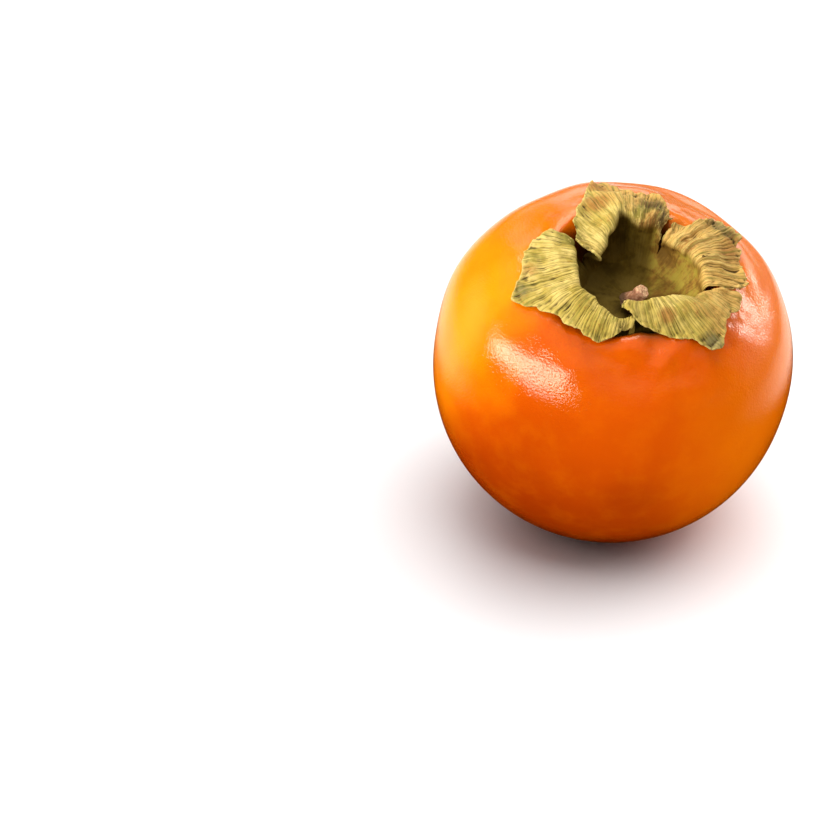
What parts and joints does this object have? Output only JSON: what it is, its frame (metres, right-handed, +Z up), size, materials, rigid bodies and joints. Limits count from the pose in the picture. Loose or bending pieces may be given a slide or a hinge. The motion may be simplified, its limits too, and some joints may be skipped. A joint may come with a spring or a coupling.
{
  "type": "persimmon",
  "caption": "Round orange fruit with a dried four-lobed calyx folded out over a well at the stem end; rests on a small flat spot.",
  "frame": {"origin": "middle of the small flat spot that the fruit rests on", "axes": "+Z up, away from the surface; the stem end leans towards -Y and a little towards +X"},
  "size_m": [0.0773, 0.0781, 0.0773],
  "materials": {
    "skin": "glossy waxy fruit skin, orange with yellow and deep orange areas, fine pores",
    "calyx": "matt dry leaf, yellow-olive, finely wrinkled along its veins, browned at the tips",
    "stem": "rough dry bark with a paler cut end",
    "style": "dry, nearly black"
  },
  "bodies": {
    "root": {"fruit": "skin", "calyx_cup": "calyx", "sepal_left": "calyx", "sepal_front": "calyx", "sepal_right": "calyx", "sepal_back": "calyx", "stem": "stem", "style_tip": "style"}
  },
  "joints": []
}
